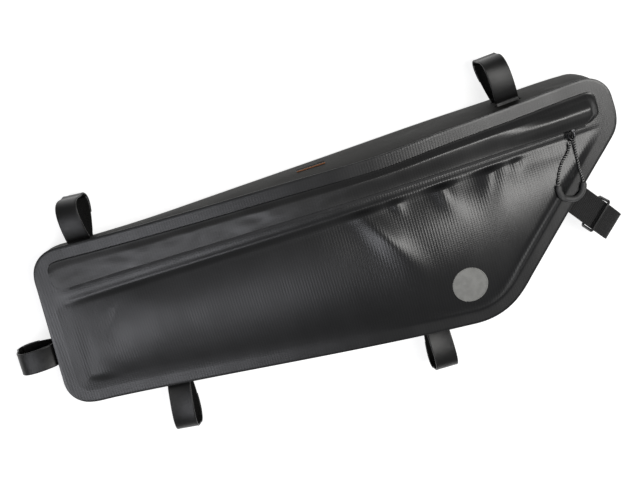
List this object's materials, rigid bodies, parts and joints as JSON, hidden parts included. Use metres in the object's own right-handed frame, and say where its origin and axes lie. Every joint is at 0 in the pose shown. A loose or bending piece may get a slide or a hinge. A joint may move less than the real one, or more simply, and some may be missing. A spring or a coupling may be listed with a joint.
{
  "type": "bicycle frame bag",
  "caption": "Slim welded frame bag for a bicycle's main triangle, with a zip under a flap, a corded zip pull, strap loops round its edges and a ring strap at the nose.",
  "frame": {"origin": "middle of the base of the bag lying on its back panel, straps included and the pull cord and its grip left out", "axes": "+X along the top edge towards the nose, +Y towards the top edge, +Z out of the face with the zip"},
  "size_m": [0.5406, 0.249, 0.0664],
  "materials": {
    "laminate": "semi-gloss coated laminate with fine ribs",
    "gusset_laminate": "smooth satin coated laminate",
    "strap_cloth": "satin hook-and-loop tape",
    "webbing": "woven webbing",
    "zip_plastic": "moulded, satin",
    "slider_metal": "black lacquer",
    "cord_fibre": "braided cord",
    "grip_rubber": "matte rubber",
    "badge_grey": "matte printed disc",
    "port_accent": "orange-brown coated edge"
  },
  "bodies": {
    "root": {"front_panel": "laminate", "back_panel": "gusset_laminate", "top_gusset": "gusset_laminate", "front_gusset": "gusset_laminate", "bottom_gusset": "gusset_laminate", "rear_gusset": "gusset_laminate", "zip_flap": "laminate", "zip_tape": "zip_plastic", "zip_slider": "slider_metal", "pull_cord": "cord_fibre", "pull_grip": "grip_rubber", "badge": "badge_grey", "cable_port_lip": "port_accent", "top_rear_strap": "strap_cloth", "top_front_strap": "strap_cloth", "rear_strap": "strap_cloth", "bottom_rear_strap": "strap_cloth", "bottom_front_strap": "strap_cloth", "front_strap": "webbing", "front_ring": "zip_plastic"}
  },
  "joints": []
}
